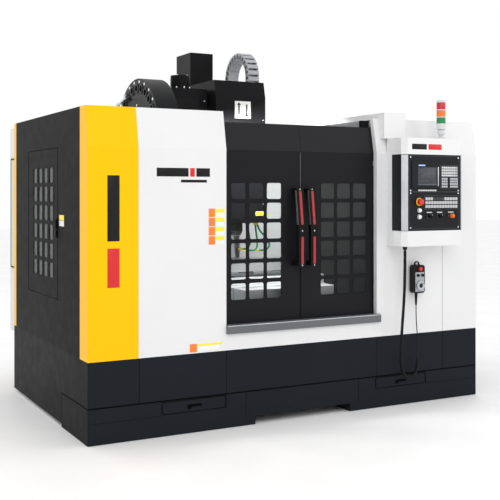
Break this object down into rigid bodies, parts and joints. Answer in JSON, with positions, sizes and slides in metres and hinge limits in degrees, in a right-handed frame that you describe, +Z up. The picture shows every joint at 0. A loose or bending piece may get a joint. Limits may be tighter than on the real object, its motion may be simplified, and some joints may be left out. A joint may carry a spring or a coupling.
{
  "type": "cnc machining center",
  "caption": "Enclosed vertical machining center with sliding windowed doors, side tool drum, operator console with lamp tower, and a hand pendant on a curly cord.",
  "frame": {"origin": "floor level under the middle of the overall box; the spindle axis stands at X 0, Y 0", "axes": "+X to the operator's right, +Y toward the back of the machine, +Z up"},
  "size_m": [2.824, 2.38, 2.473],
  "materials": {
    "cast_blue": "painted, low gloss",
    "steel": "ground",
    "cast_grey": "painted, satin",
    "charcoal": "fine texture, satin",
    "table_iron": "ground",
    "cover_grey": "satin",
    "black_cover": "satin",
    "hose_green": "matte",
    "chain_grey": "matte",
    "base_navy": "fine texture, satin",
    "yellow": "gloss",
    "white": "satin",
    "inner_white": "satin",
    "silver": "satin",
    "glazing": "clear",
    "light_grey": "satin",
    "console_black": "satin",
    "screen_glass": "gloss",
    "key_plastic": "matte",
    "red_plastic": "gloss",
    "knob_black": "matte",
    "orange_plastic": "gloss",
    "light_plastic": "matte",
    "lens_plastic": "gloss",
    "dial_silver": "satin",
    "cord_rubber": "matte"
  },
  "bodies": {
    "machine": {"bed_casting": "cast_blue", "levelling_feet": "steel", "column_casting": "cast_grey", "guide_rails": "steel", "z_motor_cover": "charcoal", "way_cover_fixed": "cover_grey", "drag_chain": "chain_grey", "changer_frame": "black_cover", "coolant_tank": "base_navy", "skirts": "base_navy", "left_corner_cover": "yellow", "left_front_cover": "white", "right_front_cover": "white", "side_panels": "charcoal", "rear_posts": "yellow", "roof_panels": "white", "inner_walls": "inner_white", "enclosure_frame": "white", "apron": "white", "sill": "silver", "electrical_cabinet": "light_grey", "console_frame": "white", "console_box": "console_black", "lcd_screen": "screen_glass", "console_keys": "key_plastic", "tower_post": "light_plastic", "tower_lenses": "lens_plastic", "pendant_body": "knob_black", "cord_gland": "knob_black", "pendant_cord": "cord_rubber", "pendant_tail": "cord_rubber"},
    "saddle": {"saddle": "cast_grey", "way_cover_front": "cover_grey"},
    "way_cover": {"way_cover_middle": "cover_grey"},
    "table": {"table": "table_iron"},
    "head": {"head_casting": "cast_grey", "head_cover": "black_cover", "coolant_nozzles": "hose_green"},
    "spindle": {"spindle": "steel"},
    "drum": {"magazine_drum": "black_cover"},
    "arm": {"change_arm": "steel"},
    "left_door": {"left_door": "charcoal", "left_door_glass": "glazing"},
    "right_door": {"right_door": "charcoal", "right_door_glass": "glazing"},
    "left_drawer": {"chip_drawer_left": "base_navy"},
    "right_drawer": {"chip_drawer_right": "base_navy"},
    "side_door": {"side_door": "charcoal", "side_door_glass": "glazing"},
    "cabinet_door": {"cabinet_door": "light_grey"},
    "emergency_stop": {"emergency_stop": "red_plastic"},
    "start_button": {"start_button": "silver"},
    "hold_button": {"hold_button": "silver"},
    "feed_knob": {"feed_knob": "knob_black"},
    "speed_knob": {"speed_knob": "knob_black"},
    "mode_knob": {"mode_knob": "orange_plastic"},
    "pendant_stop": {"pendant_stop": "red_plastic"},
    "axis_selector": {"axis_selector": "knob_black"},
    "step_selector": {"step_selector": "knob_black"},
    "pendant_dial": {"pendant_dial": "dial_silver"}
  },
  "joints": [
    {"name": "left_door_slide", "type": "slide", "parent": "machine", "child": "left_door", "axis": [-1, 0, 0], "range_m": [0, 0.465]},
    {"name": "right_door_slide", "type": "slide", "parent": "machine", "child": "right_door", "axis": [1, 0, 0], "range_m": [0, 0.465]},
    {"name": "saddle_slide", "type": "slide", "parent": "machine", "child": "saddle", "axis": [0, 1, 0], "range_m": [-0.25, 0.25]},
    {"name": "way_cover_slide", "type": "slide", "parent": "machine", "child": "way_cover", "axis": [0, 1, 0], "range_m": [-0.13, 0.13]},
    {"name": "table_slide", "type": "slide", "parent": "saddle", "child": "table", "axis": [1, 0, 0], "range_m": [-0.4, 0.4]},
    {"name": "head_slide", "type": "slide", "parent": "machine", "child": "head", "axis": [0, 0, 1], "range_m": [-0.035, 0.44], "deforming": ["drag_chain"]},
    {"name": "spindle_spin", "type": "hinge", "parent": "head", "child": "spindle", "pos_m": [0, 0, 1.2], "axis": [0, 0, 1], "continuous": true},
    {"name": "drum_spin", "type": "hinge", "parent": "machine", "child": "drum", "pos_m": [-0.6, 0.08, 1.803], "axis": [1, 0, 0], "continuous": true},
    {"name": "arm_swing", "type": "hinge", "parent": "machine", "child": "arm", "pos_m": [-0.35, 0.04, 1.4], "axis": [0, 0, 1], "range_deg": [-12, 12]},
    {"name": "left_drawer_slide", "type": "slide", "parent": "machine", "child": "left_drawer", "axis": [0, -1, 0], "range_m": [0, 0.35]},
    {"name": "right_drawer_slide", "type": "slide", "parent": "machine", "child": "right_drawer", "axis": [0, -1, 0], "range_m": [0, 0.35]},
    {"name": "side_door_hinge", "type": "hinge", "parent": "machine", "child": "side_door", "pos_m": [-1.4, 0.2735, 1.2], "axis": [0, 0, -1], "range_deg": [0, 100]},
    {"name": "cabinet_door_hinge", "type": "hinge", "parent": "machine", "child": "cabinet_door", "pos_m": [-0.4565, 1.1585, 1.1], "axis": [0, 0, -1], "range_deg": [0, 110]},
    {"name": "emergency_stop_press", "type": "slide", "parent": "machine", "child": "emergency_stop", "axis": [0, 1, 0], "range_m": [0, 0.004], "stiffness_N_per_m": 1500},
    {"name": "start_press", "type": "slide", "parent": "machine", "child": "start_button", "axis": [0, 1, 0], "range_m": [0, 0.004], "stiffness_N_per_m": 1000},
    {"name": "hold_press", "type": "slide", "parent": "machine", "child": "hold_button", "axis": [0, 1, 0], "range_m": [0, 0.004], "stiffness_N_per_m": 1000},
    {"name": "feed_turn", "type": "hinge", "parent": "machine", "child": "feed_knob", "pos_m": [0.844, -1.17, 1.251], "axis": [0, -1, 0], "range_deg": [-135, 135]},
    {"name": "speed_turn", "type": "hinge", "parent": "machine", "child": "speed_knob", "pos_m": [0.929, -1.17, 1.251], "axis": [0, -1, 0], "range_deg": [-135, 135]},
    {"name": "mode_turn", "type": "hinge", "parent": "machine", "child": "mode_knob", "pos_m": [1.023, -1.17, 1.25], "axis": [0, -1, 0], "range_deg": [-90, 90]},
    {"name": "pendant_stop_press", "type": "slide", "parent": "machine", "child": "pendant_stop", "axis": [0, 1, 0], "range_m": [0, 0.002], "stiffness_N_per_m": 1500},
    {"name": "axis_turn", "type": "hinge", "parent": "machine", "child": "axis_selector", "pos_m": [0.838, -1.05, 0.856], "axis": [0, -1, 0], "range_deg": [-60, 60]},
    {"name": "step_turn", "type": "hinge", "parent": "machine", "child": "step_selector", "pos_m": [0.876, -1.05, 0.856], "axis": [0, -1, 0], "range_deg": [-60, 60]},
    {"name": "dial_spin", "type": "hinge", "parent": "machine", "child": "pendant_dial", "pos_m": [0.857, -1.05, 0.788], "axis": [0, -1, 0], "continuous": true}
  ],
  "couplings": [
    {"joint": "way_cover_slide", "follows": "saddle_slide", "ratio": 0.5}
  ]
}
